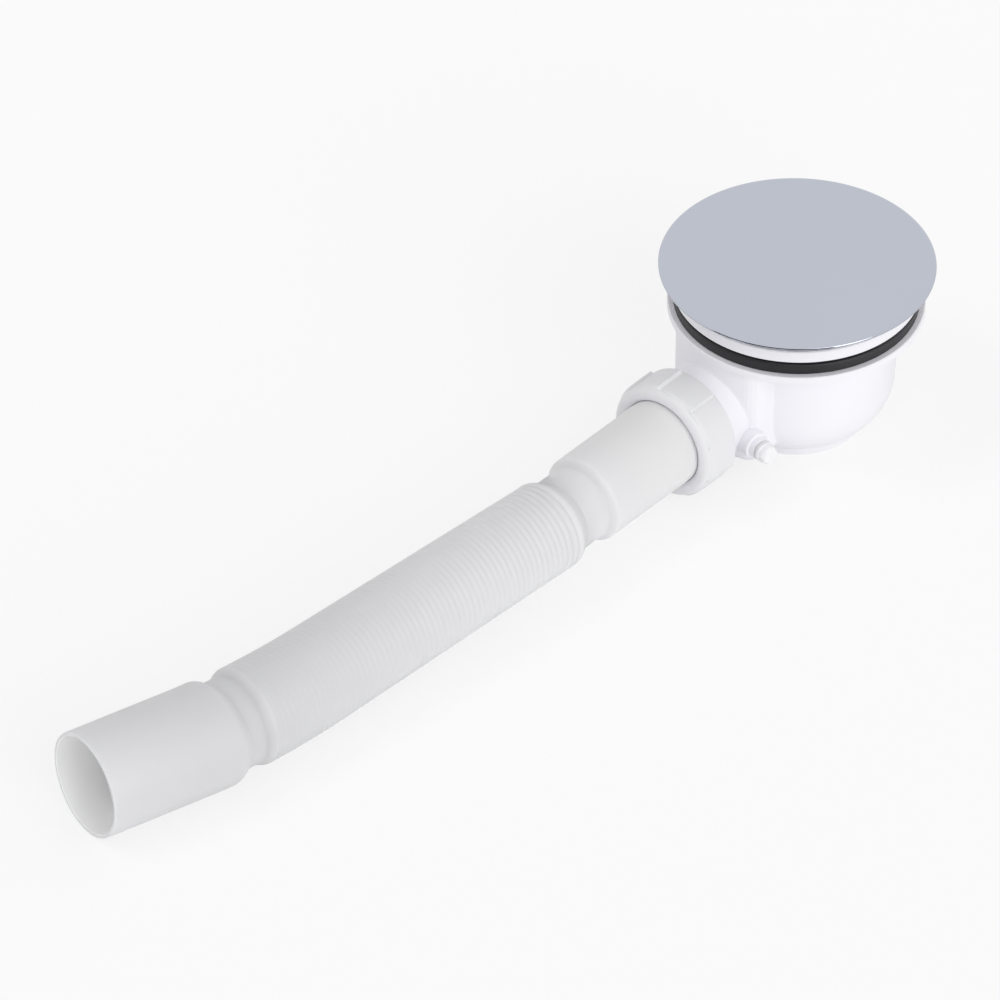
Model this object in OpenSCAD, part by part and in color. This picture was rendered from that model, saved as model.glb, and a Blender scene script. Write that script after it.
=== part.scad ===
// Shower tray trap with a flat cover and a flexible waste pipe. Millimetres, +Z up.
// The trap axis is the Z axis, the foot stands on z = 0 and the outlet points along -X.

/* [Cover] */

// diameter of the flat cover
cover_d = 125; // [110:1:135]

// height of the cover's top face over the foot
cover_top = 84.8; // [82:0.1:90]

// height of the cover's edge
cover_edge = 1.5; // [1.5:0.1:3]

// thickness of the cover plate
cover_t = 1; // [0.8:0.1:1.4]

/* [Tray flange] */

// outer radius of the clamp flange
flange_r = 55.8; // [52:0.1:58]

// radius of the throat
throat_r = 36; // [34:0.1:36.4]

// height of the upstand over the flange plate
upstand_h = 3.2; // [1:0.1:5]

// radius of the circle of the three screws
screw_circle = 40.8; // [40.6:0.1:41]

/* [Seal] */

// outer radius of the rubber seal
seal_r = 55.5; // [52:0.1:57]

// thickness of the rubber seal
seal_t = 5.1; // [4:0.1:5.5]

/* [Body] */

// outer radius of the bowl
bowl_r = 45.5; // [45:0.1:48]

// wall thickness of the body
body_wall = 2.5; // [2:0.1:3]

// radius of the foot
foot_r = 32.35; // [30:0.05:34]

// radius of the rim
rim_r = 58.1; // [57:0.1:62]

// height of the rim's top face
rim_top = 64.3; // [62:0.1:66]

// height of the water over the foot before it runs off
weir_z = 52; // [45:0.5:54]

/* [Outlet] */

// height of the outlet axis
outlet_z = 31.5; // [31:0.1:33]

// sideways offset of the outlet axis
outlet_y = 5; // [4:0.1:6]

// bore radius of the outlet stub
stub_bore_r = 21.3; // [21.1:0.05:21.6]

/* [Union nut] */

// radius over the grip steps
nut_r = 28.6; // [28:0.1:29.5]

// depth of a grip step
nut_step = 1.4; // [0.8:0.1:2]

// number of grip steps
nut_steps = 9; // [6:1:12]

/* [Waste pipe] */

// outer radius of the plain tube
tube_r = 20.8; // [20:0.1:21]

// wall thickness of the tube
tube_wall = 1.6; // [1.2:0.1:2]

// rib pitch of the corrugated length
rib_pitch = 3.1; // [3:0.05:4]

// number of ribs between the two bends
rib_count = 46; // [24:1:48]

// rib depth
rib_depth = 0.55; // [0.4:0.05:0.7]

// outer radius over the first rib
corr_r0 = 21.2; // [21:0.1:22]

// outer radius over the last rib
corr_r1 = 23.6; // [22.4:0.1:23.8]

// outer radius of the cuff
cuff_r = 25; // [24.5:0.1:25.5]

// length of the cuff
cuff_len = 64.7; // [50:0.1:80]

/* [Hidden] */

$fn = 96;

cover_r = cover_d / 2;
cover_low = cover_top - cover_edge;
cover_under = cover_top - cover_t;
seal_top = rim_top + seal_t;
gasket_t = 1.6;
plate_z = seal_top + gasket_t;
plate_t = 3;
plate_top = plate_z + plate_t;
spigot_r = 44.2;
spigot_z = rim_top + 0.3;
ledge_z = 66;
screw_seat = plate_top - 2.1;
insert_top = 62;
outlet_x = 57;

// outlet housing behind the bowl
house_r = 57.3;
house_y0 = -21;
house_y1 = 32;
house_corner = 8;
house_floor = 9;

// angles of the three screws and bosses
screw_turn = [0, 120, 240];

// lower corner of the bowl: a quarter of an ellipse
bowl_rx = 22;
bowl_rz = 25;
bowl_cz = 27;

function ell(cx, cz, rx, rz, a0, a1, n) =
  [for (i = [0:n]) let (a = a0 + (a1 - a0) * i / n) [cx + rx * cos(a), cz + rz * sin(a)]];

function arc(c, r, a0, a1, n) =
  [for (i = [0:n]) let (a = a0 + (a1 - a0) * i / n) c + r * [cos(a), sin(a)]];

// plan of the outlet housing, drawn inward by d
function house_plan(d) =
  let (
    r = house_r - d,
    y0 = house_y0 + d,
    y1 = house_y1 - d,
    k = max(house_corner - d, 1.5),
    c0 = [-sqrt(pow(r - k, 2) - pow(y0 + k, 2)), y0 + k],
    c1 = [-sqrt(pow(r - k, 2) - pow(y1 - k, 2)), y1 - k],
    a0 = 180 + atan2(-c0[1], -c0[0]),
    a1 = 180 + atan2(-c1[1], -c1[0])
  )
  concat(
    [[-20, y1]],
    arc(c1, k, 90, a1, 5),
    arc([0, 0], r, a1 + 3, a0 - 3, 14),
    arc(c0, k, a0, 270, 5),
    [[-20, y0]]
  );

// local frame of the outlet: +Z runs out along the pipe, +X is up
module outlet_frame(s) {
  translate([-s, outlet_y, outlet_z])
    rotate([0, -90, 0])
      children();
}

module at_screws() {
  for (a = screw_turn)
    rotate([0, 0, a])
      translate([screw_circle, 0, 0])
        children();
}

// cover

module cover_plate() {
  color([0.76, 0.77, 0.80])
    rotate_extrude($fn = 160)
      polygon(concat(
        [[0, cover_under], [0, cover_top]],
        ell(cover_r - 2, cover_top - 1.2, 2, 1.2, 90, 0, 6),
        [[cover_r, cover_low + 0.25], [cover_r - 0.25, cover_low],
         [cover_r - 1.3, cover_low], [cover_r - 1.8, cover_under]]
      ));
}

module cover_carrier() {
  ring_z = cover_under - 2;
  color([0.93, 0.93, 0.94])
    difference() {
      union() {
        rotate_extrude()
          polygon([[28, ring_z], [36, ring_z], [36, cover_under], [28, cover_under]]);
        for (i = [0:3])
          rotate([0, 0, 30 + 90 * i]) {
            // spoke
            translate([24, -4, ring_z])
              cube([24, 8, 2]);
            // foot on the flange plate
            translate([45, -4, plate_top])
              cube([3, 8, ring_z - plate_top + 1]);
            // web between foot and tongue
            translate([32, -1, plate_top + 2])
              cube([14, 2, ring_z - plate_top - 1]);
            // tongue that guides the cover in the throat
            translate([32.5, -4, plate_top - 3.4])
              cube([2.8, 8, ring_z - plate_top + 4.4]);
          }
      }
      // rounds the tongues to the throat
      difference() {
        translate([0, 0, plate_top - 8])
          cylinder(r = 50, h = 8);
        translate([0, 0, plate_top - 9])
          cylinder(r = throat_r - 0.4, h = 10);
      }
    }
}

// tray flange

module tray_flange() {
  color([0.94, 0.94, 0.95])
    difference() {
      union() {
        rotate_extrude($fn = 128)
          polygon([
            [throat_r, ledge_z], [34.2, ledge_z], [34.2, spigot_z], [37.8, spigot_z],
            [37.8, plate_z], [42.7, plate_z], [42.7, spigot_z],
            [spigot_r - 0.5, spigot_z], [spigot_r, spigot_z + 0.5], [spigot_r, plate_z],
            [flange_r - 0.4, plate_z], [flange_r, plate_z + 0.4],
            [flange_r, plate_top + upstand_h - 0.5], [flange_r - 0.5, plate_top + upstand_h],
            [flange_r - 1.5, plate_top + upstand_h], [flange_r - 2, plate_top + upstand_h - 0.5],
            [flange_r - 2.2, plate_top], [throat_r + 0.6, plate_top], [throat_r, plate_top - 0.6]
          ]);
        at_screws()
          translate([0, 0, spigot_z])
            cylinder(r = 3.2, h = plate_z - spigot_z + 1);
      }
      at_screws() {
        translate([0, 0, spigot_z - 1])
          cylinder(r = 2.7, h = 12, $fn = 48);
        translate([0, 0, screw_seat])
          cylinder(r = 4.15, h = 5, $fn = 48);
      }
    }
}

module flange_gasket() {
  color([0.12, 0.12, 0.13])
    rotate_extrude($fn = 128)
      translate([spigot_r + 0.4, seal_top])
        square([7.4, gasket_t]);
}

module body_seal() {
  color([0.10, 0.10, 0.11])
    rotate_extrude($fn = 128)
      polygon(concat(
        [[spigot_r + 0.3, rim_top]],
        ell(seal_r - 0.6, rim_top + 0.6, 0.6, 0.6, -90, 0, 4),
        ell(seal_r - 1, seal_top - 1, 1, 1, 0, 90, 5),
        [[spigot_r + 0.3, seal_top]]
      ));
}

module flange_screws() {
  color([0.72, 0.72, 0.70])
    at_screws()
      difference() {
        union() {
          translate([0, 0, screw_seat])
            rotate_extrude($fn = 48)
              polygon([[0, 0], [3.9, 0], [3.9, 1.1], [3.4, 1.7], [2.4, 2.0], [0, 2.0]]);
          translate([0, 0, insert_top - 11])
            cylinder(r = 2.45, h = screw_seat - insert_top + 11.5, $fn = 48);
        }
        // cross recess
        translate([-2, -0.4, screw_seat + 0.9])
          cube([4, 0.8, 2]);
        translate([-0.4, -2, screw_seat + 0.9])
          cube([0.8, 4, 2]);
      }
}

module screw_inserts() {
  color([0.80, 0.66, 0.35])
    at_screws()
      translate([0, 0, insert_top - 12])
        rotate_extrude($fn = 48)
          polygon([
            [2.55, 0.6], [3.2, 0.6], [3.2, 4.4], [2.9, 4.8], [2.9, 5.4], [3.2, 5.8],
            [3.2, 11.9], [2.55, 11.9]
          ]);
}

// lift-out cup with the dip tube

module insert_cup() {
  rc = throat_r - 0.35;
  color([0.93, 0.94, 0.95])
    difference() {
      union() {
        rotate_extrude($fn = 128)
          polygon([
            [22.2, 12.5], [24, 12.5], [24, 58], [33.6, ledge_z - 0.9], [33.6, ledge_z],
            [rc, ledge_z], [rc, ledge_z + 1.1], [rc - 1.3, ledge_z + 1.1],
            [rc - 1.3, ledge_z + 3.3], [rc, ledge_z + 3.3], [rc, ledge_z + 4.2],
            [rc - 2.8, ledge_z + 4.2], [rc - 2.8, ledge_z + 1.2], [22.2, 59.2]
          ]);
        // bar to lift the cup by
        translate([-2, -(rc - 2), ledge_z + 1.4])
          cube([4, 2 * (rc - 2), 2.6]);
      }
      // finger waist of the bar
      for (s = [-1, 1])
        translate([s * 6, 0, ledge_z - 2])
          cylinder(r = 5, h = 8, $fn = 48);
    }
}

module insert_o_ring() {
  color([0.11, 0.11, 0.12])
    rotate_extrude($fn = 128)
      translate([throat_r - 0.85, ledge_z + 2.2])
        circle(r = 0.8, $fn = 24);
}

// body

module bowl_shell() {
  rotate_extrude($fn = 128)
    polygon(concat(
      [[0, 0], [foot_r - 0.4, 0], [foot_r, 0.4], [foot_r, 2.6]],
      ell(bowl_r - bowl_rx, bowl_cz, bowl_rx, bowl_rz, -66, 0, 11),
      [[bowl_r, rim_top - 3.7 - 0.8], [bowl_r + 0.8, rim_top - 3.7],
       [rim_r - 0.4, rim_top - 3.7], [rim_r, rim_top - 3.3],
       [rim_r, rim_top - 0.4], [rim_r - 0.4, rim_top], [0, rim_top]]
    ));
}

module bowl_room() {
  rotate_extrude($fn = 128)
    polygon(concat(
      [[0, 4.5], [bowl_r - bowl_rx, 4.5]],
      ell(bowl_r - bowl_rx, bowl_cz, bowl_rx - body_wall, bowl_rz - body_wall, -84, 0, 12),
      [[bowl_r - body_wall, rim_top + 1], [0, rim_top + 1]]
    ));
}

module housing() {
  hull() {
    translate([0, 0, house_floor + 8])
      linear_extrude(rim_top - 3 - house_floor - 8)
        polygon(house_plan(0));
    for (a = [22.5, 45, 67.5, 90])
      translate([0, 0, house_floor + 8 - 8 * sin(a)])
        linear_extrude(0.02)
          polygon(house_plan(7.5 * (1 - cos(a))));
  }
}

// room of the outlet behind the bowl wall
module housing_room() {
  w = body_wall;
  difference() {
    hull() {
      translate([0, 0, house_floor + w + 6])
        linear_extrude(58 - house_floor - w - 6)
          polygon(house_plan(w));
      for (a = [30, 60, 90])
        translate([0, 0, house_floor + w + 6 - 6 * sin(a)])
          linear_extrude(0.02)
            polygon(house_plan(w + 5.5 * (1 - cos(a))));
    }
    translate([0, 0, -1])
      cylinder(r = bowl_r, h = rim_top + 2, $fn = 128);
  }
}

// threaded outlet, as a profile turned about the outlet axis
module stub_solid() {
  outlet_frame(49)
    rotate_extrude()
      polygon(concat(
        [[0, 0], [22.8, 0], [22.8, 19.8]],
        [for (i = [0:3]) for (p = [[22.8, 0.2], [23.85, 0.8], [23.85, 1.3], [22.8, 1.9]])
          [p[0], 20 + 2.2 * i + p[1]]],
        [[22.8, 29.6], [22.4, 30], [0, 30]]
      ));
}

module stub_bore() {
  outlet_frame(outlet_x)
    rotate_extrude()
      polygon([
        [0, 0], [stub_bore_r, 0], [stub_bore_r, 18], [22.05, 22.2], [0, 22.2]
      ]);
  outlet_frame(45)
    cylinder(r = 19.2, h = 13);
}

// test nipple on the corner of the housing
nipple_turn = 258;

module nipple_frame() {
  translate([-54, -18.5, 25])
    rotate([0, 0, nipple_turn])
      rotate([0, 90, 0])
        children();
}

module trap_body() {
  color([0.95, 0.95, 0.96])
    difference() {
      union() {
        bowl_shell();
        housing();
        stub_solid();
        nipple_frame()
          rotate_extrude($fn = 64)
            polygon([[0, -6], [6.5, -6], [6.5, 5.4], [6.1, 5.8], [5.2, 5.8], [5.2, 8.6], [0, 8.6]]);
      }
      difference() {
        bowl_room();
        // bosses of the screw inserts
        at_screws()
          rotate_extrude($fn = 64)
            polygon([[0, 30], [1.2, 30], [4.3, 40], [4.3, insert_top], [0, insert_top]]);
      }
      housing_room();
      // window over the weir
      translate([-50, -13, weir_z])
        cube([14, 36, 58 - weir_z]);
      stub_bore();
      at_screws()
        translate([0, 0, insert_top - 12])
          cylinder(r = 3.2, h = 14, $fn = 48);
      nipple_frame()
        translate([0, 0, -9])
          cylinder(r = 3, h = 20, $fn = 48);
    }
}

// plug of the nipple

module plug_seal() {
  color([0.15, 0.15, 0.16])
    nipple_frame()
      rotate_extrude($fn = 48)
        translate([3.2, 8.6])
          square([1.6, 1]);
}

module drain_plug() {
  color([0.86, 0.87, 0.88])
    nipple_frame()
      rotate_extrude($fn = 64)
        polygon([
          [0, 0.5], [2.5, 0.5], [2.9, 1.2], [2.9, 9.6], [4.9, 9.6], [4.9, 11.4],
          [4.4, 11.9], [4.2, 14.2], [3.4, 15.4], [0, 15.8]
        ]);
}

// union nut
nut_turn = 41.6;
nut_hole_r = 21.1;

module nut_outline() {
  step = 360 / nut_steps;
  riser = 0.02;
  polygon([
    for (i = [0:nut_steps - 1])
      for (j = [0:4])
        let (
          a = nut_turn + step * (i + (j == 0 ? 0 : riser + (1 - riser) * (j - 1) / 4)),
          r = nut_r - nut_step * (j == 0 ? 0 : (5 - j) / 4)
        )
        [r * sin(a), r * cos(a)]
  ]);
}

module union_nut() {
  color([0.92, 0.92, 0.93])
    outlet_frame(68.5)
      difference() {
        union() {
          rotate_extrude()
            polygon([[0, 0], [26.9, 0], [27.3, 0.4], [27.3, 2], [0, 2]]);
          translate([0, 0, 1.2])
            linear_extrude(16.2)
              nut_outline();
          // rounded front
          rotate_extrude()
            polygon(concat(
              [[0, 17]],
              ell(24.3, 17.4, 2.9, 2.8, 0, 90, 6),
              [[0, 20.2]]
            ));
        }
        translate([0, 0, -1])
          cylinder(r = 24, h = 17);
        translate([0, 0, -1])
          cylinder(r = nut_hole_r, h = 30);
        rotate_extrude()
          polygon([[20, 18.4], [nut_hole_r, 18.8], [23, 20.4], [20, 20.4]]);
        rotate_extrude()
          polygon([[23.5, -0.1], [24.7, -0.1], [23.5, 1.1]]);
      }
}

module slip_ring() {
  color([0.80, 0.82, 0.84])
    outlet_frame(83)
      rotate_extrude()
        translate([tube_r + 0.15, 0])
          square([2.8, 1.5]);
}

module cone_gasket() {
  color([0.16, 0.16, 0.17])
    outlet_frame(76)
      rotate_extrude()
        polygon([
          [tube_r + 0.02, 0], [21.45, 0], [21.98, 3], [23.4, 3.05], [23.4, 7], [tube_r + 0.02, 7]
        ]);
}

// waste pipe: pieces in a row, each turned a little against the one before

// neck between the plain tube and the ribs
neck_r = 17.9;
neck_wall = 1.4;
run_start = 108.2;

// a bend is made of three turns of one size, the first of them sets its direction
bend_in = 2.0256;
bend_in_dir = 112.8513;
bend_out = 1.32353;
bend_out_dir = -59.0898;

// the turn between the ribs and the cuff
cuff_turn = 7.5;
cuff_dir = 36.4196;
cuff_at = 34.7;

// number of ribs in a piece of the second bend and behind it
bend_ribs = 4;
end_ribs = 5;
rib_total = rib_count + 2 + 2 * bend_ribs + end_ribs;

// half the width of a rib at its foot, at its top and in the bore
rib_foot = 1.05;
rib_land = 0.55;
rib_groove = 0.95;
rib_wall = 1.5;

// how far a piece reaches back into the one before it
rib_tail = 1.65;

// smooth end of the run, its neck and the lip of the cuff
smooth_z = rib_pitch * end_ribs + 0.3;
collar_z = 20.2;
end_neck_r = 21.7;
lip_z = 32.1;
lip_ball = cuff_r + 0.03;
cuff_wall = 1.8;

// tilts the rest of the pipe by a degrees towards the direction t, s further along it
module kink(s, a, t) {
  translate([0, 0, s])
    rotate([0, a, t])
      children();
}

// outer radius over rib i
function rib_r(i) = corr_r0 + (corr_r1 - corr_r0) * i / (rib_total - 1);

// outer outline of n ribs from rib k on, the foot of the last one lies deeper by d
function rib_crests(k, n, d) = [
  for (i = [0:n - 1])
    let (s = rib_pitch * (i + 0.5), r = rib_r(k + i))
    for (p = [[-rib_foot, -rib_depth], [-rib_land, 0], [rib_land, 0],
              [rib_foot, -rib_depth - (i == n - 1 ? d : 0)]])
      [r + p[1], s + p[0]]
];

// outline of the bore behind n ribs from rib k on, its last point lies deeper by d
function rib_bores(k, n, d) = [
  for (i = [0:n - 1])
    let (s = rib_pitch * (i + 0.5), r = rib_r(k + i) - rib_wall)
    for (p = [[-rib_groove, -rib_depth], [-rib_groove, 0], [rib_groove, 0],
              [rib_groove, -rib_depth - (i == n - 1 ? d : 0)]])
      [r + p[1], s + p[0]]
];

// a piece of n ribs from rib k on, its ends lie inside its neighbours
module rib_piece(k, n) {
  v = rib_r(k) - rib_depth;
  e = rib_pitch * (n - 0.5) + rib_foot;
  rotate_extrude()
    polygon(concat(
      [[0, -rib_tail], [v, -rib_tail]],
      rib_crests(k, n, 0.4),
      [[0, e]]
    ));
}

module rib_piece_bore(k, n) {
  v = rib_r(k) - rib_depth - rib_wall;
  e = rib_pitch * (n - 0.5) + rib_groove;
  rotate_extrude()
    polygon(concat(
      [[0, -rib_tail], [v, -rib_tail]],
      rib_bores(k, n, 0.4),
      [[0, e]]
    ));
}

module tube_piece() {
  rotate_extrude()
    polygon([
      [0, 0], [tube_r - 0.6, 0], [tube_r, 0.6], [tube_r, 84.4], [tube_r - 0.2, 85.2],
      [tube_r - 0.8, 86.1], [neck_r + 1, 87.1], [neck_r + 0.3, 87.9], [neck_r, 88.9],
      [neck_r, 102.3], [neck_r + 0.3, 102.8], [neck_r + 1.9, 104.1],
      [corr_r0 - 0.7, 105.3], [corr_r0 - 0.1, 106.3], [corr_r0 - 0.1, 107.2],
      [corr_r0 - rib_depth - 0.4, 107.7], [0, 107.7]
    ]);
}

module tube_piece_bore() {
  r = tube_r - tube_wall;
  n = neck_r - neck_wall;
  g = corr_r0 - rib_wall - 0.1;
  rotate_extrude()
    polygon([
      [0, -1], [r + 0.5, -1], [r + 0.5, 0], [r, 0.5], [r, 84], [n, 87.4], [n, 103.4],
      [g - 1, 105], [g, 105.6], [g, 107.6], [g - rib_depth - 0.3, 107.6], [0, 107.6]
    ]);
}

// last ribs, smooth collar, neck and the lip that the cuff turns on
module end_piece() {
  k = rib_total - end_ribs;
  rotate_extrude($fn = 128)
    polygon(concat(
      [[0, -rib_tail], [rib_r(k) - rib_depth, -rib_tail]],
      rib_crests(k, end_ribs, 0),
      [[corr_r1 - rib_depth, smooth_z], [corr_r1, smooth_z + 0.5], [corr_r1, collar_z - 0.8],
       [corr_r1 - 0.4, collar_z], [end_neck_r + 0.5, collar_z + 0.4],
       [end_neck_r, collar_z + 1.2], [end_neck_r, lip_z - 2.3], [end_neck_r + 0.4, lip_z - 1.5],
       [cuff_r - 1.1, lip_z - 1.1], [cuff_r - 0.4, lip_z - 0.6], [cuff_r - 0.1, lip_z],
       [cuff_r - 0.1, lip_z + 0.5], [0, lip_z + 0.5]]
    ));
  intersection() {
    translate([0, 0, cuff_at])
      sphere(r = lip_ball, $fn = 128);
    translate([0, 0, lip_z])
      cylinder(r = cuff_r + 5, h = cuff_at);
  }
}

module end_piece_bore() {
  k = rib_total - end_ribs;
  n = end_neck_r - neck_wall;
  rotate_extrude($fn = 128)
    polygon(concat(
      [[0, -rib_tail], [rib_r(k) - rib_depth - rib_wall, -rib_tail]],
      rib_bores(k, end_ribs, 0),
      [[corr_r1 - rib_depth - rib_wall, smooth_z + 0.4], [corr_r1 - rib_wall, smooth_z + 0.8],
       [corr_r1 - rib_wall, collar_z - 1.6], [n, collar_z - 0.6], [n, cuff_at + 4.4],
       [0, cuff_at + 4.4]]
    ));
}

module cuff_piece() {
  rotate_extrude($fn = 128)
    polygon([
      [0, 0], [cuff_r, 0], [cuff_r, cuff_len - 0.3], [cuff_r - 0.3, cuff_len], [0, cuff_len]
    ]);
}

module cuff_piece_bore() {
  r = cuff_r - cuff_wall;
  rotate_extrude($fn = 128)
    polygon([
      [0, 1.4], [r - 2, 1.4], [r, 3.2], [r, cuff_len - 0.4], [r + 0.4, cuff_len],
      [r + 0.4, cuff_len + 1], [0, cuff_len + 1]
    ]);
}

// turns the seam of a piece out of the plane of its bend
module seam_aside() {
  rotate([0, 0, 90])
    children();
}

// child 0 is the tube, 1 to 5 are the pieces with ribs, 6 is the end and 7 the cuff
module pipe_chain() {
  children(0);
  kink(run_start, bend_in, bend_in_dir) {
    seam_aside() children(1);
    kink(rib_pitch, bend_in, 0) {
      seam_aside() children(2);
      kink(rib_pitch, bend_in, 0) {
        seam_aside() children(3);
        kink(rib_pitch * rib_count, bend_out, bend_out_dir) {
          seam_aside() children(4);
          kink(rib_pitch * bend_ribs, bend_out, 0) {
            seam_aside() children(5);
            kink(rib_pitch * bend_ribs, bend_out, 0) {
              seam_aside() children(6);
              kink(cuff_at, cuff_turn, cuff_dir)
                seam_aside() children(7);
            }
          }
        }
      }
    }
  }
}

module flexible_pipe() {
  k = rib_count + 2;
  color([0.92, 0.92, 0.93])
    outlet_frame(outlet_x + 0.1)
      difference() {
        pipe_chain() {
          tube_piece();
          rib_piece(0, 1);
          rib_piece(1, 1);
          rib_piece(2, rib_count);
          rib_piece(k, bend_ribs);
          rib_piece(k + bend_ribs, bend_ribs);
          end_piece();
          cuff_piece();
        }
        pipe_chain() {
          tube_piece_bore();
          rib_piece_bore(0, 1);
          rib_piece_bore(1, 1);
          rib_piece_bore(2, rib_count);
          rib_piece_bore(k, bend_ribs);
          rib_piece_bore(k + bend_ribs, bend_ribs);
          end_piece_bore();
          cuff_piece_bore();
        }
      }
}

cover_plate();
cover_carrier();
tray_flange();
flange_gasket();
body_seal();
flange_screws();
screw_inserts();
insert_cup();
insert_o_ring();
trap_body();
drain_plug();
plug_seal();
union_nut();
slip_ring();
cone_gasket();
flexible_pipe();
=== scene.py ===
"""Looks of a low round shower tray trap: finishes, the ribbed pipe, the nut, the cover and the studio."""

from math import atan2, cos, degrees, hypot, pi, radians, sin, sqrt

import bpy
from mathutils import Matrix, Vector


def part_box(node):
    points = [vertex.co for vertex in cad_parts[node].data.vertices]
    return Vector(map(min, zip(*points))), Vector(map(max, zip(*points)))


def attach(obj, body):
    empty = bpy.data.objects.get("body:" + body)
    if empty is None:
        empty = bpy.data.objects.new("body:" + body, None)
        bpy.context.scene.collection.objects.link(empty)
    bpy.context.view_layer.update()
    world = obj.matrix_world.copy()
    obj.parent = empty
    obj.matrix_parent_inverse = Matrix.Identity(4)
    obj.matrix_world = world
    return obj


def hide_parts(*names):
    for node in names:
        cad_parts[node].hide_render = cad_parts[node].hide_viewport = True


bl_info = {
    "name": "Shower tray trap",
    "version": (1, 0, 0),
    "blender": (4, 5, 0),
    "location": "3D View > Sidebar > Trap",
    "description": "Finishes, ribbed pipe and studio of a low round shower tray trap",
    "category": "Object",
}

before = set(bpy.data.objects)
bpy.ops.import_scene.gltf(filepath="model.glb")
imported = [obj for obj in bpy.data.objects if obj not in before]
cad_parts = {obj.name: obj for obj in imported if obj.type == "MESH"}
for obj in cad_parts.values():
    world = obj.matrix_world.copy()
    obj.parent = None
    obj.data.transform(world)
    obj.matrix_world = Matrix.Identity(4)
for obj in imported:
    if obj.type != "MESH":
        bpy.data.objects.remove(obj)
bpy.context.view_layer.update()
MM = 0.001

# where along X the painted shade on the pipe begins and ends, metres: the white turns greyer towards the cuff,
# standing in for the light falling off away from the trap
PAINTED_SHADE_START = -0.06
PAINTED_SHADE_END = -0.36


def srgb(r, g, b):
    """Linear colour of a colour given as 0 to 255."""
    def one(v):
        v = v / 255
        return v / 12.92 if v <= 0.04045 else ((v + 0.055) / 1.055) ** 2.4
    return (one(r), one(g), one(b))


# Sizes and colours that a user would change


def size_prop(name, default, description):
    """A length in millimetres."""
    return bpy.props.FloatProperty(name=name, default=default, description=description)


def colour_prop(name, rgb, description):
    """A linear colour with a colour swatch."""
    return bpy.props.FloatVectorProperty(
        name=name, default=srgb(*rgb), description=description, subtype="COLOR", size=3, min=0, max=1)


class TrapFinishes(bpy.types.PropertyGroup):
    """Colours of the finishes."""
    chrome: colour_prop("Chrome", (189, 193, 204), "Tint of the plated cover")
    body: colour_prop("Body", (244, 243, 248), "White of the glossy body moulding")
    nut: colour_prop("Nut", (232, 232, 234), "White of the nut and the small mouldings")
    pipe: colour_prop("Pipe", (250, 249, 255), "White of the waste pipe")
    # the cuff's greyer white is painted shade: the far end of the light falloff painted along the pipe
    cuff: colour_prop("Cuff", (213, 213, 215), "Greyer white of the pipe's cuff")
    # the bore's lighter white is painted light: a glow standing in for light coming through the pipe's wall
    bore: colour_prop("Bore", (248, 248, 250), "White of the pipe's inside, which glows as light comes through")
    rubber: colour_prop("Rubber", (40, 40, 43), "Black of the seals")
    plug: colour_prop("Plug", (240, 240, 242), "Milky tone of the drain plug")
    steel: colour_prop("Steel", (176, 176, 174), "Stainless screws")
    brass: colour_prop("Brass", (206, 172, 104), "Brass inserts")


class TrapPipe(bpy.types.PropertyGroup):
    """Sizes of the waste pipe, along its centre line where not said otherwise."""
    tube_r: size_prop("Tube radius", 20.8, "Outer radius of the plain tube, mm")
    neck_r: size_prop("First neck radius", 17.9, "Outer radius of the neck behind the tube, mm")
    run_start: size_prop("Start of the ribs", 111.3, "Distance from the tube's end to the first rib, mm")
    pitch: size_prop("Rib pitch", 3.06, "Distance from one rib to the next, mm")
    ribs: bpy.props.IntProperty(name="Ribs", default=60, description="Number of ribs")
    depth: size_prop("Rib depth", 0.3, "Depth of the valleys between the ribs, mm")
    fade: bpy.props.FloatProperty(
        name="Rib fade", default=0.6, description="Share of the depth that the last rib has lost")
    r_first: size_prop("First rib radius", 21.2, "Outer radius over the first rib, mm")
    r_last: size_prop("Last rib radius", 23.6, "Outer radius over the last rib, mm")
    end_neck_r: size_prop("Second neck radius", 21.4, "Outer radius of the neck before the cuff, mm")
    cuff_r: size_prop("Cuff radius", 24.98, "Outer radius of the cuff, mm")
    length: size_prop("Length", 381.1, "Length of the whole pipe, mm")
    wall: size_prop("Wall", 1.5, "Wall thickness, mm")
    sides: bpy.props.IntProperty(name="Sides", default=96, description="Facets round the pipe")


class TrapNut(bpy.types.PropertyGroup):
    """Sizes of the union nut."""
    r_high: size_prop("Outer radius", 28.6, "Radius at the top of a grip step, mm")
    drop: size_prop("Step depth", 1.4, "Depth of a grip step, mm")
    steps: bpy.props.IntProperty(name="Steps", default=9, description="Number of grip steps")
    columns: bpy.props.IntProperty(name="Columns", default=22, description="Facets in one grip step")
    first: bpy.props.FloatProperty(
        name="First step", default=41.6, description="Place of the first step, degrees up from +Y")


class TrapStudio(bpy.types.PropertyGroup):
    """Light and camera."""
    ambient: bpy.props.FloatProperty(name="Ambient", default=0.64, description="Strength of the room light")
    key: bpy.props.FloatProperty(name="Key", default=1.1, description="Strength of the lamp at the front")
    back: bpy.props.FloatProperty(name="Back", default=0.33, description="Strength of the lamp behind")
    lens: bpy.props.FloatProperty(name="Lens", default=773.72, description="Focal length of the camera, mm")


# Node helpers


def link(tree, a, b):
    tree.links.new(a, b)


def node(tree, kind, **values):
    """A node with its properties or sockets set by name."""
    n = tree.nodes.new(kind)
    for key, value in values.items():
        if hasattr(n, key):
            setattr(n, key, value)
        else:
            n.inputs[key.replace("_", " ")].default_value = value
    return n


def new_group(name, inputs, outputs):
    """An empty shader node group with named sockets, and its two end nodes."""
    tree = bpy.data.node_groups.new(name, "ShaderNodeTree")
    for label, kind, default in inputs:
        socket = tree.interface.new_socket(label, in_out="INPUT", socket_type=kind)
        socket.default_value = default
    for label, kind in outputs:
        tree.interface.new_socket(label, in_out="OUTPUT", socket_type=kind)
    return tree, tree.nodes.new("NodeGroupInput"), tree.nodes.new("NodeGroupOutput")


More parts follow.
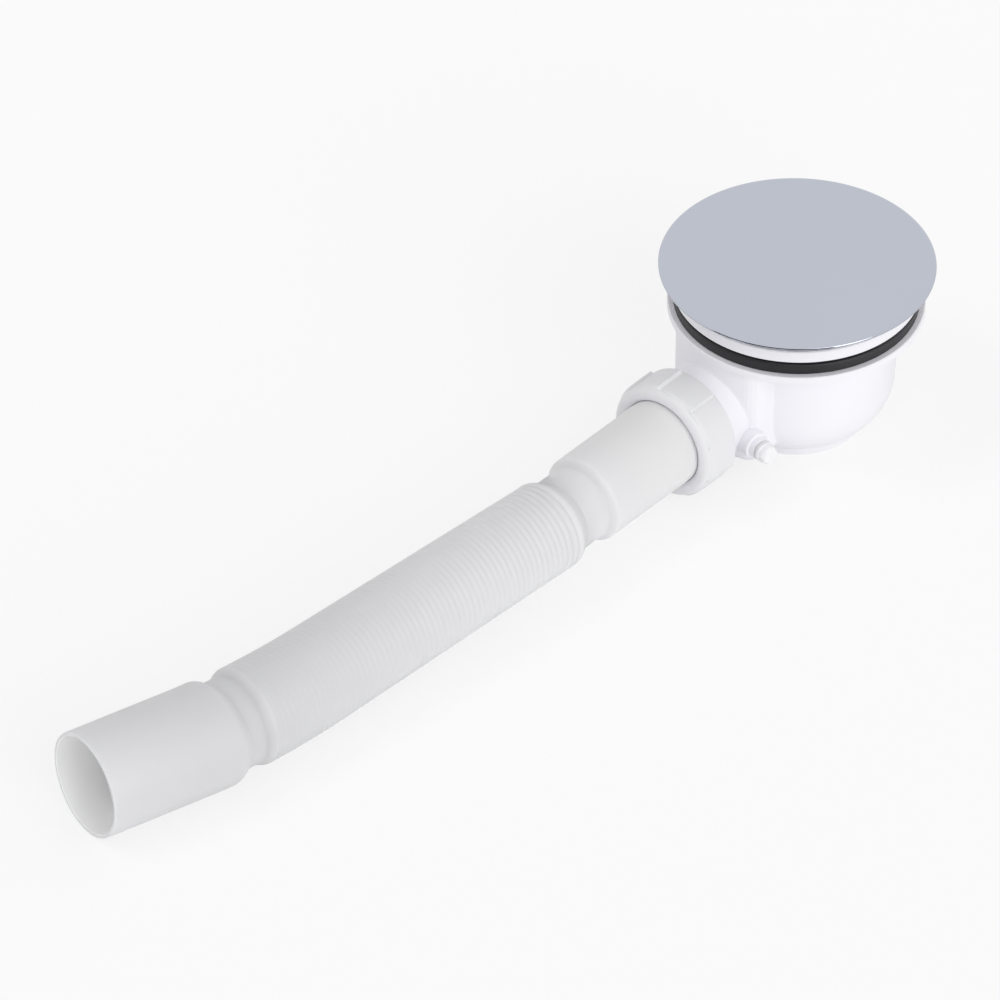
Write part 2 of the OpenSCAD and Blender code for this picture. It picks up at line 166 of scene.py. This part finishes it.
def ramp_range(tree, value, lo, hi):
    """Maps 0..1 noise to a range."""
    n = node(tree, "ShaderNodeMapRange")
    n.inputs["To Min"].default_value = lo
    n.inputs["To Max"].default_value = hi
    link(tree, value, n.inputs["Value"])
    return n.outputs["Result"]


def moulded_skin():
    """Skin of a moulded plastic: soft mottling, fine grain and the handling marks in its gloss."""
    tree, start, end = new_group(
        "Moulded skin",
        [("Vector", "NodeSocketVector", (0, 0, 0)),
         ("Colour", "NodeSocketColor", (0.9, 0.9, 0.9, 1)),
         ("Shade", "NodeSocketColor", (0.8, 0.8, 0.8, 1)),
         ("Roughness", "NodeSocketFloat", 0.35),
         ("Grain", "NodeSocketFloat", 900.0)],
        [("Color", "NodeSocketColor"), ("Roughness", "NodeSocketFloat"), ("Height", "NodeSocketFloat")])
    cloudy = node(tree, "ShaderNodeTexNoise", Scale=28.0, Detail=3.0, Roughness=0.55)
    fine = node(tree, "ShaderNodeTexNoise", Detail=2.0, Roughness=0.5)
    smears = node(tree, "ShaderNodeTexNoise", Scale=75.0, Detail=4.0, Roughness=0.6, Distortion=0.6)
    for texture in (cloudy, fine, smears):
        link(tree, start.outputs["Vector"], texture.inputs["Vector"])
    link(tree, start.outputs["Grain"], fine.inputs["Scale"])
    mix = node(tree, "ShaderNodeMix", data_type="RGBA")
    link(tree, ramp_range(tree, cloudy.outputs["Fac"], -0.2, 0.55), mix.inputs["Factor"])
    link(tree, start.outputs["Colour"], mix.inputs["A"])
    link(tree, start.outputs["Shade"], mix.inputs["B"])
    link(tree, mix.outputs["Result"], end.inputs["Color"])
    rough = node(tree, "ShaderNodeMath", operation="ADD")
    link(tree, start.outputs["Roughness"], rough.inputs[0])
    link(tree, ramp_range(tree, smears.outputs["Fac"], -0.03, 0.04), rough.inputs[1])
    link(tree, rough.outputs["Value"], end.inputs["Roughness"])
    link(tree, fine.outputs["Fac"], end.inputs["Height"])
    return tree


def plated_skin():
    """Skin of plated or polished metal: faint haze in the tint and fine wipe marks in the gloss."""
    tree, start, end = new_group(
        "Plated skin",
        [("Vector", "NodeSocketVector", (0, 0, 0)),
         ("Tint", "NodeSocketColor", (0.5, 0.5, 0.5, 1)),
         ("Haze", "NodeSocketColor", (0.5, 0.5, 0.5, 1)),
         ("Roughness", "NodeSocketFloat", 0.08)],
        [("Color", "NodeSocketColor"), ("Roughness", "NodeSocketFloat"), ("Height", "NodeSocketFloat")])
    haze = node(tree, "ShaderNodeTexNoise", Scale=9.0, Detail=2.0, Roughness=0.4)
    wipes = node(tree, "ShaderNodeTexNoise", Scale=60.0, Detail=5.0, Roughness=0.7, Distortion=1.2)
    ripple = node(tree, "ShaderNodeTexNoise", Scale=16.0, Detail=1.0)
    for texture in (haze, wipes, ripple):
        link(tree, start.outputs["Vector"], texture.inputs["Vector"])
    mix = node(tree, "ShaderNodeMix", data_type="RGBA")
    link(tree, ramp_range(tree, haze.outputs["Fac"], -0.3, 1.2), mix.inputs["Factor"])
    link(tree, start.outputs["Tint"], mix.inputs["A"])
    link(tree, start.outputs["Haze"], mix.inputs["B"])
    link(tree, mix.outputs["Result"], end.inputs["Color"])
    rough = node(tree, "ShaderNodeMath", operation="ADD")
    link(tree, start.outputs["Roughness"], rough.inputs[0])
    link(tree, ramp_range(tree, wipes.outputs["Fac"], -0.02, 0.04), rough.inputs[1])
    link(tree, rough.outputs["Value"], end.inputs["Roughness"])
    link(tree, ripple.outputs["Fac"], end.inputs["Height"])
    return tree


def painted_shade_along_pipe(tree, place, near, far):
    """A colour that runs from near to far along -X, from the tube to the cuff: painted shade for the light falling off
    along the pipe.
    """
    axes = node(tree, "ShaderNodeSeparateXYZ")
    link(tree, place.outputs["Object"], axes.inputs["Vector"])
    along = node(tree, "ShaderNodeMapRange")
    along.inputs["From Min"].default_value = PAINTED_SHADE_START
    along.inputs["From Max"].default_value = PAINTED_SHADE_END
    link(tree, axes.outputs["X"], along.inputs["Value"])
    mix = node(tree, "ShaderNodeMix", data_type="RGBA")
    link(tree, along.outputs["Result"], mix.inputs["Factor"])
    mix.inputs["A"].default_value = near
    mix.inputs["B"].default_value = far
    return mix.outputs["Result"]


def finish_material(name, group, values, bump=0.0, bump_distance=0.0002, **sockets):
    """A Principled material whose colour, gloss and grain come from a skin group."""
    mat = bpy.data.materials.new(name)
    mat.use_nodes = True
    tree = mat.node_tree
    shader = tree.nodes["Principled BSDF"]
    place = node(tree, "ShaderNodeTexCoord")
    skin = node(tree, "ShaderNodeGroup")
    skin.node_tree = bpy.data.node_groups[group]
    link(tree, place.outputs["Object"], skin.inputs["Vector"])
    for key, value in values.items():
        # a list paints shade along the pipe, from its first colour at the tube to its second at the cuff
        if isinstance(value, list):
            link(tree, painted_shade_along_pipe(tree, place, *value), skin.inputs[key])
        else:
            skin.inputs[key].default_value = value
    link(tree, skin.outputs["Color"], shader.inputs["Base Color"])
    link(tree, skin.outputs["Roughness"], shader.inputs["Roughness"])
    if bump:
        raised = node(tree, "ShaderNodeBump", Strength=bump, Distance=bump_distance)
        link(tree, skin.outputs["Height"], raised.inputs["Height"])
        link(tree, raised.outputs["Normal"], shader.inputs["Normal"])
    for key, value in sockets.items():
        shader.inputs[key.replace("_", " ")].default_value = value
    return mat


def rgba(colour, scale=1.0):
    return (colour[0] * scale, colour[1] * scale, colour[2] * scale, 1.0)


def dress(node_name, material):
    """Gives a CAD node one material."""
    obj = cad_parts[node_name]
    obj.data.materials.clear()
    obj.data.materials.append(bpy.data.materials[material])


# Modelling helpers


def deselect_all():
    if bpy.context.object and bpy.context.object.mode != "OBJECT":
        bpy.ops.object.mode_set(mode="OBJECT")
    bpy.ops.object.select_all(action="DESELECT")


def draw_outline(name, points, closed=False):
    """A new mesh object whose edges run through the points, drawn by extruding one vertex."""
    deselect_all()
    bpy.ops.mesh.primitive_plane_add(size=0.001, location=points[0])
    obj = bpy.context.object
    obj.name = name
    obj.data.name = name
    bpy.ops.object.transform_apply(location=True, rotation=True, scale=True)
    bpy.ops.object.mode_set(mode="EDIT")
    bpy.ops.mesh.select_all(action="SELECT")
    bpy.ops.mesh.merge(type="CENTER")
    for a, b in zip(points, points[1:]):
        step = Vector(b) - Vector(a)
        bpy.ops.mesh.extrude_region_move(TRANSFORM_OT_translate={"value": step})
    if closed:
        bpy.ops.object.mode_set(mode="OBJECT")
        verts = obj.data.vertices
        for v in verts:
            v.select = False
        verts[0].select = True
        verts[len(verts) - 1].select = True
        bpy.ops.object.mode_set(mode="EDIT")
        bpy.ops.mesh.edge_face_add()
    return obj


def spin_outline(name, points, sides, axis=(0, 0, 1), closed=True, centre=(0, 0, 0)):
    """A revolve of an outline."""
    obj = draw_outline(name, points, closed)
    bpy.ops.mesh.select_all(action="SELECT")
    bpy.ops.mesh.spin(steps=sides, angle=2 * pi, center=centre, axis=axis)
    bpy.ops.mesh.select_all(action="SELECT")
    bpy.ops.mesh.remove_doubles(threshold=1e-6)
    bpy.ops.mesh.normals_make_consistent(inside=False)
    bpy.ops.object.mode_set(mode="OBJECT")
    return obj


def smooth(obj, angle=30):
    deselect_all()
    obj.select_set(True)
    bpy.context.view_layer.objects.active = obj
    bpy.ops.object.shade_smooth_by_angle(angle=radians(angle))


def apply_modifier(obj, kind, name, **values):
    deselect_all()
    obj.select_set(True)
    bpy.context.view_layer.objects.active = obj
    mod = obj.modifiers.new(name, kind)
    for key, value in values.items():
        setattr(mod, key, value)
    bpy.ops.object.modifier_apply(modifier=mod.name)


def fractions(n):
    """n + 1 even steps from 0 to 1."""
    return [i / n for i in range(n + 1)]


def blend(a, b, t):
    """Runs softly from a to b as t goes from 0 to 1."""
    return a + (b - a) * (3 * t * t - 2 * t * t * t)


# Pieces


class TRAP_OT_finishes(bpy.types.Operator):
    """Makes the skin groups and the materials"""
    bl_idname = "trap.finishes"
    bl_label = "Finishes"

    def execute(self, context):
        look = context.scene.trap_finishes
        moulded_skin()
        plated_skin()
        finish_material(
            "Plated cover", "Plated skin",
            {"Tint": rgba(look.chrome), "Haze": rgba(look.chrome, 0.96), "Roughness": 0.07},
            bump=0.02, Metallic=1.0)
        finish_material(
            "Glossy white", "Moulded skin",
            {"Colour": rgba(look.body), "Shade": rgba(look.body, 0.98), "Roughness": 0.3, "Grain": 700.0},
            bump=0.01)
        finish_material(
            "Satin white", "Moulded skin",
            {"Colour": rgba(look.nut), "Shade": rgba(look.nut, 0.96), "Roughness": 0.42, "Grain": 1400.0},
            bump=0.06)
        # the pipe's white greys towards the cuff: painted shade for the light falling off away from the trap
        finish_material(
            "Pipe white", "Moulded skin",
            {"Colour": [rgba(look.pipe), rgba(look.cuff)],
             "Shade": [rgba(look.pipe, 0.97), rgba(look.cuff, 0.97)], "Roughness": 0.45, "Grain": 1200.0},
            bump=0.04, Subsurface_Weight=1.0, Subsurface_Radius=(1, 1, 1), Subsurface_Scale=0.004)
        # the inside of the same plastic, given its own lighter white: painted light for the glow coming through the
        # wall
        finish_material(
            "Bore painted glow", "Moulded skin",
            {"Colour": rgba(look.bore), "Shade": rgba(look.bore, 0.98), "Roughness": 0.45, "Grain": 1200.0},
            bump=0.04, Subsurface_Weight=1.0, Subsurface_Radius=(1, 1, 1), Subsurface_Scale=0.004)
        finish_material(
            "Seal rubber", "Moulded skin",
            {"Colour": rgba(look.rubber), "Shade": rgba(look.rubber, 0.7), "Roughness": 0.5, "Grain": 1600.0},
            bump=0.10)
        finish_material(
            "Milky plug", "Moulded skin",
            {"Colour": rgba(look.plug), "Shade": rgba(look.plug, 0.97), "Roughness": 0.3, "Grain": 900.0},
            bump=0.03, Subsurface_Weight=0.6, Subsurface_Radius=(1, 1, 1), Subsurface_Scale=0.003)
        finish_material(
            "Stainless", "Plated skin",
            {"Tint": rgba(look.steel), "Haze": rgba(look.steel, 0.9), "Roughness": 0.3},
            bump=0.05, Metallic=1.0)
        finish_material(
            "Turned brass", "Plated skin",
            {"Tint": rgba(look.brass), "Haze": rgba(look.brass, 0.88), "Roughness": 0.32},
            bump=0.05, Metallic=1.0)
        return {"FINISHED"}


class TRAP_OT_mouldings(bpy.types.Operator):
    """Gives the CAD nodes that stay as they are their finishes"""
    bl_idname = "trap.mouldings"
    bl_label = "Mouldings and seals"

    def execute(self, context):
        finishes = {
            "Glossy white": ["trap_body", "tray_flange"],
            "Satin white": ["cover_carrier", "insert_cup", "slip_ring"],
            "Seal rubber": ["flange_gasket", "body_seal", "insert_o_ring", "cone_gasket"],
            "Milky plug": ["drain_plug", "plug_seal"],
            "Stainless": ["flange_screws"],
            "Turned brass": ["screw_inserts"],
        }
        for material, nodes in finishes.items():
            for name in nodes:
                dress(name, material)
        return {"FINISHED"}


class TRAP_OT_cover(bpy.types.Operator):
    """Turns the plated cover as one disc with a rounded edge"""
    bl_idname = "trap.cover"
    bl_label = "Cover"

    def execute(self, context):
        low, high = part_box("cover_plate")
        r = min(high[0], high[1], -low[0], -low[1])
        top = high[2]
        under = top - 1.0 * MM
        edge_w = 2.0 * MM
        edge_h = 0.95 * MM
        round_over = [
            (r - edge_w + edge_w * sin(a), 0, top - edge_h + edge_h * cos(a))
            for a in [radians(7.5 * i) for i in range(13)]]
        lip = [
            (r, 0, low[2] + 0.25 * MM), (r - 0.08 * MM, 0, low[2] + 0.08 * MM), (r - 0.25 * MM, 0, low[2]),
            (r - 1.3 * MM, 0, low[2]), (r - 1.8 * MM, 0, under)]
        rings = [0.02, 0.25, 0.5, 0.75, 0.9]
        face = [(r * k, 0, top) for k in rings]
        back = [(r * k, 0, under) for k in reversed(rings)]
        obj = spin_outline(
            "cover_disc", [(0, 0, under), (0, 0, top), *face, *round_over, *lip, *back], 256, closed=False)
        obj.data.materials.append(bpy.data.materials["Plated cover"])
        smooth(obj, 40)
        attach(obj, "root")
        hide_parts("cover_plate")
        return {"FINISHED"}


class TRAP_OT_pipe(bpy.types.Operator):
    """Turns the waste pipe straight, then bends it along its centre line"""
    bl_idname = "trap.pipe"
    bl_label = "Waste pipe"

    def execute(self, context):
        pipe = context.scene.trap_pipe
        outline = [(x * MM, 0, r * MM) for x, r in [*self.outside(pipe), *self.inside(pipe)]]
        obj = spin_outline("waste_pipe", outline, pipe.sides, axis=(1, 0, 0))
        obj.data.materials.append(bpy.data.materials["Pipe white"])
        obj.data.materials.append(bpy.data.materials["Bore painted glow"])
        # the inner faces take the bore's painted glow
        for face in obj.data.polygons:
            if face.normal.y * face.center.y + face.normal.z * face.center.z < 0:
                face.material_index = 1
        route = self.route(pipe)
        apply_modifier(obj, "CURVE", "Route", object=route, deform_axis="POS_X")
        deselect_all()
        route.select_set(True)
        bpy.ops.object.delete()
        smooth(obj, 60)
        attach(obj, "root")
        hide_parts("flexible_pipe")
        return {"FINISHED"}

    def outside(self, pipe):
        """Distance and radius of the outline from the tube's hidden end to the cuff's mouth."""
        pts = [(0, pipe.tube_r - 0.6), (0.6, pipe.tube_r), (30, pipe.tube_r), (60, pipe.tube_r)]
        pts += [(84.2 + 4.8 * t, blend(pipe.tube_r, pipe.neck_r, t)) for t in fractions(10)]
        pts += [(95, pipe.neck_r)]
        pts += [(102.4 + 0.8 * t, pipe.neck_r + 0.22 * t * t) for t in fractions(4)]
        cone = pipe.run_start - 3.2
        pts += [(cone + 1.9 * t, pipe.r_first - 0.53 * (1 - t) * (1 - t)) for t in fractions(6)]
        pts += [(pipe.run_start - 0.6, pipe.r_first)]
        per_rib = 8
        for i in range(pipe.ribs * per_rib + 1):
            u = i / per_rib
            crest = pipe.r_first + (pipe.r_last - pipe.r_first) * u / pipe.ribs
            depth = pipe.depth * (1 - pipe.fade * u / pipe.ribs)
            pts.append((pipe.run_start + u * pipe.pitch, crest - depth * (0.5 + 0.5 * cos(2 * pi * u))))
        end = pipe.run_start + pipe.ribs * pipe.pitch
        pts += [(end + 0.3 + 5.7 * t, blend(pipe.r_last - 0.04, pipe.end_neck_r, t)) for t in fractions(12)]
        pts += [(end + 8.2, pipe.end_neck_r)]
        lip = 308.4
        pts += [(lip + 7.2 * t, blend(pipe.end_neck_r, pipe.cuff_r, t ** 0.75)) for t in fractions(16)]
        pts += [(x, pipe.cuff_r) for x in (316, 317, 318, 319, 320, 325, 340, 360)]
        pts += [
            (pipe.length - 0.45 + 0.45 * sin(a), pipe.cuff_r - 0.45 + 0.45 * cos(a))
            for a in [t * pi / 2 for t in fractions(4)]]
        return pts

    def inside(self, pipe):
        """The bore, from the cuff's mouth back to the tube's hidden end."""
        bore = 23.2
        neck = pipe.end_neck_r - 1.4
        pts = [
            (pipe.length - 0.4 + 0.4 * cos(a), bore + 0.4 - 0.4 * sin(a))
            for a in [t * pi / 2 for t in fractions(4)]]
        pts += [(x, bore) for x in (370, 350, 330, 322, 320, 319.7)]
        pts += [(318.6, bore - 0.6), (317.9, bore - 2), (317.2, neck + 0.3), (316.4, neck)]
        pts += [(x, neck) for x in (315.5, 314.5, 313.5, 310, 304.5)]
        end = pipe.run_start + pipe.ribs * pipe.pitch
        pts += [(end + 3, pipe.r_last - 2.65), (end + 0.3, pipe.r_last - pipe.wall - 0.1)]
        per_rib = 4
        for i in range(pipe.ribs * per_rib, -1, -1):
            u = i / per_rib
            crest = pipe.r_first + (pipe.r_last - pipe.r_first) * u / pipe.ribs - pipe.wall
            pts.append((pipe.run_start + u * pipe.pitch, crest - pipe.depth * (0.5 + 0.5 * cos(2 * pi * u))))
        pts += [(108.6, pipe.r_first - pipe.wall - 0.4), (103, pipe.neck_r - pipe.wall)]
        pts += [(95, pipe.neck_r - pipe.wall), (87.6, pipe.neck_r - pipe.wall), (86.4, 17.4), (84.6, 19), (83.6, 19.2)]
        pts += [(60, 19.2), (30, 19.2), (0.5, 19.2), (0, 19.7)]
        return pts

    def route(self, pipe):
        """The centre line as a curve: straight lengths joined by three even bends."""
        bends = [(106.65, 115.95, 6.0768, 112.8513), (250.8, 288.0, 3.9706, 53.7615), (309.0, 324.0, 7.5, 90.1811)]
        place = Matrix.Translation(Vector((-57.1, 5, 31.5)) * MM)
        place = place @ Matrix(((0, 0, -1), (0, 1, 0), (1, 0, 0))).to_4x4()
        points = [place.translation.copy()]
        here = 0.0
        while here < pipe.length - 1e-6:
            step = min(1.0, pipe.length - here)
            place = place @ Matrix.Translation((0, 0, step * MM))
            for start, end, angle, way in bends:
                share = (min(here + step, end) - max(here, start)) / (end - start)
                if share > 0:
                    axis = Vector((-sin(radians(way)), cos(radians(way)), 0))
                    place = place @ Matrix.Rotation(radians(angle) * share, 4, axis)
            here += step
            points.append(place.translation.copy())
        obj = draw_outline("route", points)
        bpy.ops.object.mode_set(mode="OBJECT")
        bpy.ops.object.convert(target="CURVE")
        obj = bpy.context.object
        if (obj.data.splines[0].points[0].co.xyz - points[0]).length > MM:
            bpy.ops.object.mode_set(mode="EDIT")
            bpy.ops.curve.select_all(action="SELECT")
            bpy.ops.curve.switch_direction()
            bpy.ops.object.mode_set(mode="OBJECT")
        obj.data.dimensions = "3D"
        return obj


class TRAP_OT_nut(bpy.types.Operator):
    """Turns the union nut, then presses the grip steps into its band"""
    bl_idname = "trap.nut"
    bl_label = "Union nut"

    def execute(self, context):
        nut = context.scene.trap_nut
        back = -68.5
        centre = Vector((0, 5, 31.5)) * MM
        band = [(1.25, nut.r_high), (2.2, nut.r_high), (6, nut.r_high), (10, nut.r_high), (14, nut.r_high),
                (16.2, nut.r_high), (16.8, nut.r_high - 0.12), (17.2, nut.r_high - 0.5)]
        front = [
            (17.3 + 2.8 * sin(a), 24.4 + 2.9 * cos(a))
            for a in [t * pi / 2 for t in fractions(9)[1:]]]
        mouth = [(20.1, 23.1), (19.9, 22.5), (19.2, 21.5), (18.8, 21.1), (18.4, 20.95)]
        room = [(16.2, 20.95), (16, 21.15), (16, 24), (1, 24), (0, 24.7)]
        rim = [(0, 26.8), (0.12, 27.1), (0.4, 27.25), (1.0, 27.3)]
        outline = [
            (back * MM - x * MM, 5 * MM, 31.5 * MM + r * MM) for x, r in [*rim, *band, *front, *mouth, *room]]
        obj = spin_outline(
            "union_nut_fine", outline, nut.steps * nut.columns, axis=(1, 0, 0), centre=centre)
        lowest = (nut.r_high - 1.0) * MM
        for column in range(1, nut.columns):
            depth = nut.drop * (nut.columns - column) / (nut.columns - 1)
            self.press(obj, nut, column, centre, lowest, 1 - depth / nut.r_high)
        obj.data.materials.append(bpy.data.materials["Satin white"])
        smooth(obj, 32)
        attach(obj, "root")
        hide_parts("union_nut")
        return {"FINISHED"}

    def press(self, obj, nut, column, centre, lowest, factor):
        """Draws one column of every grip step towards the axis."""
        pitch = 360 / nut.steps
        want = pitch * column / nut.columns
        deselect_all()
        obj.select_set(True)
        bpy.context.view_layer.objects.active = obj
        bpy.ops.object.mode_set(mode="EDIT")
        bpy.ops.mesh.select_mode(type="VERT")
        bpy.ops.mesh.select_all(action="DESELECT")
        bpy.ops.object.mode_set(mode="OBJECT")
        for v in obj.data.vertices:
            y = v.co.y - centre.y
            z = v.co.z - centre.z
            if hypot(y, z) < lowest:
                continue
            off = (degrees(atan2(z, y)) - nut.first - want + pitch / 2) % pitch - pitch / 2
            v.select = abs(off) < pitch / nut.columns / 2
        bpy.ops.object.mode_set(mode="EDIT")
        bpy.ops.transform.resize(value=(1, factor, factor), center_override=centre)
        bpy.ops.object.mode_set(mode="OBJECT")


class TRAP_OT_studio(bpy.types.Operator):
    """Makes the floor, the lamps, the room light and the camera"""
    bl_idname = "trap.studio"
    bl_label = "Studio"

    def execute(self, context):
        look = context.scene.trap_studio
        self.floor()
        self.room(look.ambient)
        self.card("card_left", 195, 225)
        self.card("card_right", 243, 311)
        self.lamp("key_lamp", look.key, (-0.3, -1.0, 0.48), 50)
        self.lamp("back_lamp", look.back, (-0.6, 0.5, 1.25), 22).visible_glossy = False
        self.camera(look.lens)
        context.scene.view_settings.view_transform = "Standard"
        return {"FINISHED"}

    def floor(self):
        """A white floor that keeps the shadow, shows as white and is clear from below."""
        deselect_all()
        bpy.ops.mesh.primitive_plane_add(size=14, location=(0, 0, -0.00005))
        obj = bpy.context.object
        obj.name = "studio_floor"
        mat = bpy.data.materials.new("Studio floor")
        mat.use_nodes = True
        tree = mat.node_tree
        shader = tree.nodes["Principled BSDF"]
        shader.inputs["Base Color"].default_value = (0.98, 0.98, 0.98, 1)
        shader.inputs["Roughness"].default_value = 0.9
        shader.inputs["Specular IOR Level"].default_value = 0.0
        glow = node(tree, "ShaderNodeEmission", Color=(1, 1, 1, 1), Strength=1.0)
        clear = node(tree, "ShaderNodeBsdfTransparent")
        path = node(tree, "ShaderNodeLightPath")
        side = node(tree, "ShaderNodeNewGeometry")
        share = node(tree, "ShaderNodeMath", operation="MULTIPLY")
        share.inputs[1].default_value = 0.7
        link(tree, path.outputs["Is Camera Ray"], share.inputs[0])
        lit = node(tree, "ShaderNodeMixShader")
        link(tree, share.outputs["Value"], lit.inputs["Fac"])
        link(tree, shader.outputs["BSDF"], lit.inputs[1])
        link(tree, glow.outputs["Emission"], lit.inputs[2])
        hide = node(tree, "ShaderNodeMath", operation="MULTIPLY")
        link(tree, path.outputs["Is Camera Ray"], hide.inputs[0])
        link(tree, side.outputs["Backfacing"], hide.inputs[1])
        # what stands on the floor is lit from below as well, so that its underside isn't black
        touch = node(tree, "ShaderNodeMapRange")
        touch.inputs["From Min"].default_value = 0.3 * MM
        touch.inputs["From Max"].default_value = 12 * MM
        touch.inputs["To Min"].default_value = 1.0
        touch.inputs["To Max"].default_value = 0.0
        link(tree, path.outputs["Ray Length"], touch.inputs["Value"])
        open_to = node(tree, "ShaderNodeMath", operation="MAXIMUM")
        link(tree, hide.outputs["Value"], open_to.inputs[0])
        link(tree, touch.outputs["Result"], open_to.inputs[1])
        whole = node(tree, "ShaderNodeMixShader")
        link(tree, open_to.outputs["Value"], whole.inputs["Fac"])
        link(tree, lit.outputs["Shader"], whole.inputs[1])
        link(tree, clear.outputs["BSDF"], whole.inputs[2])
        link(tree, whole.outputs["Shader"], tree.nodes["Material Output"].inputs["Surface"])
        obj.data.materials.append(mat)

    def card(self, name, start, end):
        """A dark card in front of the trap from one bearing to another, only reflections show it."""
        reach = 0.155
        low = (reach * cos(radians(start)), reach * sin(radians(start)), 0.002)
        obj = draw_outline(name, [low, (low[0], low[1], 0.14)])
        bpy.ops.mesh.select_all(action="SELECT")
        bpy.ops.mesh.spin(steps=16, angle=radians(end - start), center=(0, 0, 0), axis=(0, 0, 1))
        bpy.ops.object.mode_set(mode="OBJECT")
        mat = bpy.data.materials.new(name)
        mat.use_nodes = True
        mat.node_tree.nodes["Principled BSDF"].inputs["Base Color"].default_value = (0.03, 0.03, 0.035, 1)
        obj.data.materials.append(mat)
        obj.visible_camera = False
        obj.visible_diffuse = False
        obj.visible_shadow = False
        obj.visible_transmission = False

    def room(self, strength):
        """Even room light, white where the camera or a reflection sees it."""
        world = bpy.data.worlds.new("Studio room")
        bpy.context.scene.world = world
        world.use_nodes = True
        tree = world.node_tree
        tree.nodes.clear()
        out = node(tree, "ShaderNodeOutputWorld")
        light = node(tree, "ShaderNodeBackground", Color=(1, 1, 1, 1), Strength=strength)
        white = node(tree, "ShaderNodeBackground", Color=(1, 1, 1, 1), Strength=1.0)
        path = node(tree, "ShaderNodeLightPath")
        seen = node(tree, "ShaderNodeMath", operation="MAXIMUM")
        shown = node(tree, "ShaderNodeMath", operation="MAXIMUM")
        link(tree, path.outputs["Is Camera Ray"], seen.inputs[0])
        link(tree, path.outputs["Is Glossy Ray"], seen.inputs[1])
        link(tree, seen.outputs["Value"], shown.inputs[0])
        link(tree, path.outputs["Is Transmission Ray"], shown.inputs[1])
        mix = node(tree, "ShaderNodeMixShader")
        link(tree, shown.outputs["Value"], mix.inputs["Fac"])
        link(tree, light.outputs["Background"], mix.inputs[1])
        link(tree, white.outputs["Background"], mix.inputs[2])
        link(tree, mix.outputs["Shader"], out.inputs["Surface"])

    def lamp(self, name, strength, source, spread):
        """A soft sun that shines from the direction source."""
        deselect_all()
        bpy.ops.object.light_add(type="SUN", location=Vector(source).normalized() * 2)
        obj = bpy.context.object
        obj.name = name
        obj.data.energy = strength
        obj.data.angle = radians(spread)
        obj.rotation_euler = Vector(source).to_track_quat("Z", "Y").to_euler()
        return obj

    def camera(self, lens):
        """The camera stands far off, as the photograph's perspective is faint."""
        stand = Vector((-5.94856, -4.73767, 6.00348))
        look = radians(39.526)
        pitch = radians(38.5453)
        roll = radians(0.9845)
        ahead = Vector((cos(look), sin(look), 0))
        right = Vector((sin(look), -cos(look), 0))
        back = -ahead * cos(pitch) + Vector((0, 0, sin(pitch)))
        up = ahead * sin(pitch) + Vector((0, 0, cos(pitch)))
        across = right * cos(roll) + up * sin(roll)
        upward = up * cos(roll) - right * sin(roll)
        deselect_all()
        bpy.ops.object.camera_add()
        cam = bpy.context.object
        cam.name = "photo_camera"
        cam.matrix_world = Matrix.Translation(stand) @ Matrix((across, upward, back)).transposed().to_4x4()
        cam.data.lens = lens
        cam.data.sensor_width = 36
        cam.data.clip_start = 0.1
        cam.data.clip_end = 60
        bpy.context.scene.camera = cam


OPERATORS = [TRAP_OT_finishes, TRAP_OT_mouldings, TRAP_OT_cover, TRAP_OT_pipe, TRAP_OT_nut, TRAP_OT_studio]


class TRAP_PT_panel(bpy.types.Panel):
    """Lists the operators"""
    bl_label = "Shower tray trap"
    bl_idname = "TRAP_PT_panel"
    bl_space_type = "VIEW_3D"
    bl_region_type = "UI"
    bl_category = "Trap"

    def draw(self, context):
        for operator in OPERATORS:
            self.layout.operator(operator.bl_idname)


GROUPS = {
    "trap_finishes": TrapFinishes,
    "trap_pipe": TrapPipe,
    "trap_nut": TrapNut,
    "trap_studio": TrapStudio,
}


def register():
    for name, group in GROUPS.items():
        bpy.utils.register_class(group)
        setattr(bpy.types.Scene, name, bpy.props.PointerProperty(type=group))
    for cls in [*OPERATORS, TRAP_PT_panel]:
        bpy.utils.register_class(cls)


def unregister():
    for cls in [TRAP_PT_panel, *reversed(OPERATORS)]:
        bpy.utils.unregister_class(cls)
    for name, group in GROUPS.items():
        delattr(bpy.types.Scene, name)
        bpy.utils.unregister_class(group)


def main():
    """Makes every piece."""
    register()
    bpy.ops.trap.finishes()
    bpy.ops.trap.mouldings()
    bpy.ops.trap.cover()
    bpy.ops.trap.pipe()
    bpy.ops.trap.nut()
    bpy.ops.trap.studio()


if __name__ == "__main__":
    main()
